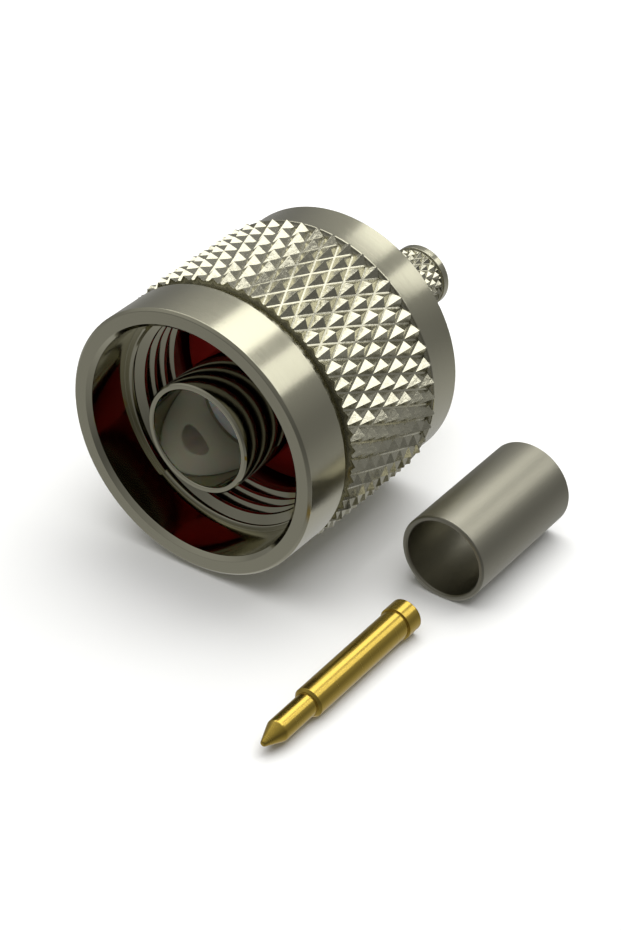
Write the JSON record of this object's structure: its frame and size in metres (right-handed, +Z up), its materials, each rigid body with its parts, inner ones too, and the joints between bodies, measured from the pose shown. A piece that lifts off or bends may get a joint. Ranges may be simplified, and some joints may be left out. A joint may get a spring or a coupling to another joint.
{
  "type": "n type connector",
  "caption": "Coaxial crimp plug with a knurled coupling nut that turns freely, a red gasket and a knurled crimp stem; its crimp ferrule and gold centre contact lie loose beside it",
  "frame": {"origin": "centre of the outer contact's front end, on the reference plane where two mated connectors meet", "axes": "+X along the connector's axis towards the cable, so the plug opens towards -X; +Z up, away from the floor that the nut's knurl and the loose pieces lie on"},
  "size_m": [0.0397, 0.0282, 0.02],
  "materials": {
    "bright_nickel": "bright nickel plate over turned brass",
    "satin_nickel": "satin nickel plate over drawn brass tube",
    "gold": "gold plate over turned brass",
    "spring_bronze": "bare phosphor bronze wire",
    "silicone": "smooth moulded silicone",
    "ptfe": "turned white fluoropolymer"
  },
  "bodies": {
    "plug": {"body": "bright_nickel", "insulator": "ptfe", "gasket": "silicone", "snap_ring": "spring_bronze", "centre_pin": "gold", "crimp_ferrule": "satin_nickel"},
    "nut": {"coupling_nut": "bright_nickel"}
  },
  "joints": [
    {"name": "nut_spin", "type": "hinge", "parent": "plug", "child": "nut", "pos_m": [0, 0, 0], "axis": [1, 0, 0], "continuous": true}
  ]
}
